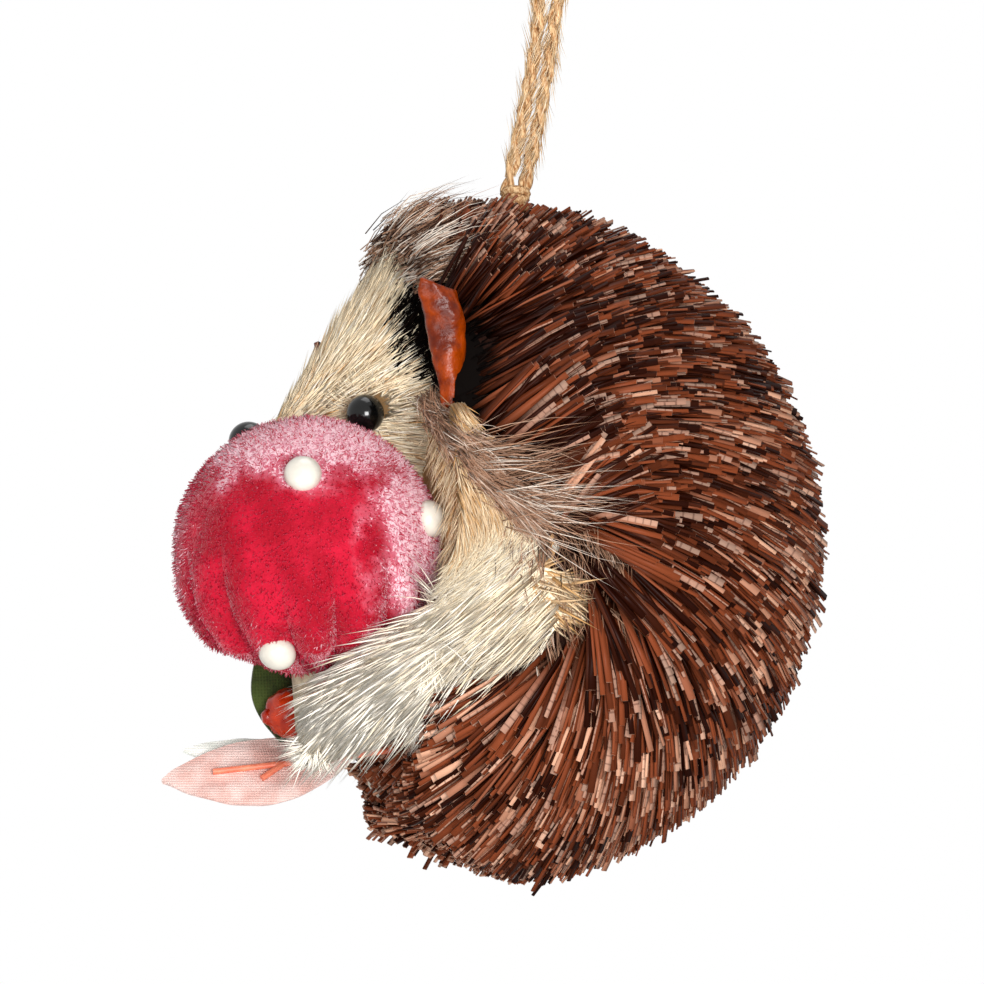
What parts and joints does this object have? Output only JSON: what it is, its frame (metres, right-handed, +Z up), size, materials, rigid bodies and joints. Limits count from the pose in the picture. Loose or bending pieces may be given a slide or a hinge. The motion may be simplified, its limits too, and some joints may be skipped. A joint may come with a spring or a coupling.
{
  "type": "hedgehog hanging ornament",
  "caption": "Curled hedgehog ornament with a coat of stiff fibre quills, holding a velvet toadstool and leaves, hung from a doubled twine loop on which it swings and turns.",
  "frame": {"origin": "where a hook bears on the inside of the twine loop, at its top", "axes": "+Z up along the hanging loop; the animal faces -X and its left side, with the toadstool, faces -Y"},
  "size_m": [0.1, 0.0978, 0.1503],
  "materials": {
    "foam": "matte",
    "quill_fibre": "satin",
    "cream_fur": "matte",
    "ruff_fur": "matte",
    "black_bead": "gloss",
    "ear_leather": "gloss",
    "red_velvet": "matte",
    "pearl": "gloss",
    "stem_cloth": "matte",
    "pink_cloth": "matte",
    "coral_rib": "satin",
    "pale_cloth": "matte",
    "green_leaf": "satin",
    "berry_red": "gloss",
    "green_wire": "satin",
    "jute": "matte"
  },
  "bodies": {
    "hanger": {"twine_loop": "jute"},
    "knot": {"twine_knot": "jute"},
    "ornament": {"foam_ball": "foam", "face_core": "foam", "cap_core": "foam", "quill_row_1": "quill_fibre", "quill_row_2": "quill_fibre", "quill_row_3": "quill_fibre", "quill_row_4": "quill_fibre", "quill_row_5": "quill_fibre", "quill_row_6": "quill_fibre", "quill_row_7": "quill_fibre", "quill_row_8": "quill_fibre", "quill_row_9": "quill_fibre", "face_pelt": "cream_fur", "chest_pelt": "cream_fur", "left_flank_pelt": "cream_fur", "right_flank_pelt": "cream_fur", "left_arm": "cream_fur", "right_arm": "cream_fur", "ruff": "ruff_fur", "nose_bead": "black_bead", "left_eye": "black_bead", "right_eye": "black_bead", "left_ear": "ear_leather", "right_ear": "ear_leather", "cap_velvet": "red_velvet", "cap_dots": "pearl", "mushroom_stem": "stem_cloth", "pink_leaf": "pink_cloth", "pink_leaf_rib": "coral_rib", "pale_leaf": "pale_cloth", "green_leaf": "green_leaf", "berry": "berry_red", "berry_wire": "green_wire", "twine_root": "jute"}
  },
  "joints": [
    {"name": "swing", "type": "hinge", "parent": "hanger", "child": "knot", "pos_m": [-0.00525, 0, -0.04786], "axis": [0, 1, 0], "range_deg": [-25, 25]},
    {"name": "turn", "type": "hinge", "parent": "knot", "child": "ornament", "pos_m": [-0.00525, 0, -0.04786], "axis": [0, 0, 1], "range_deg": [-180, 180]}
  ]
}
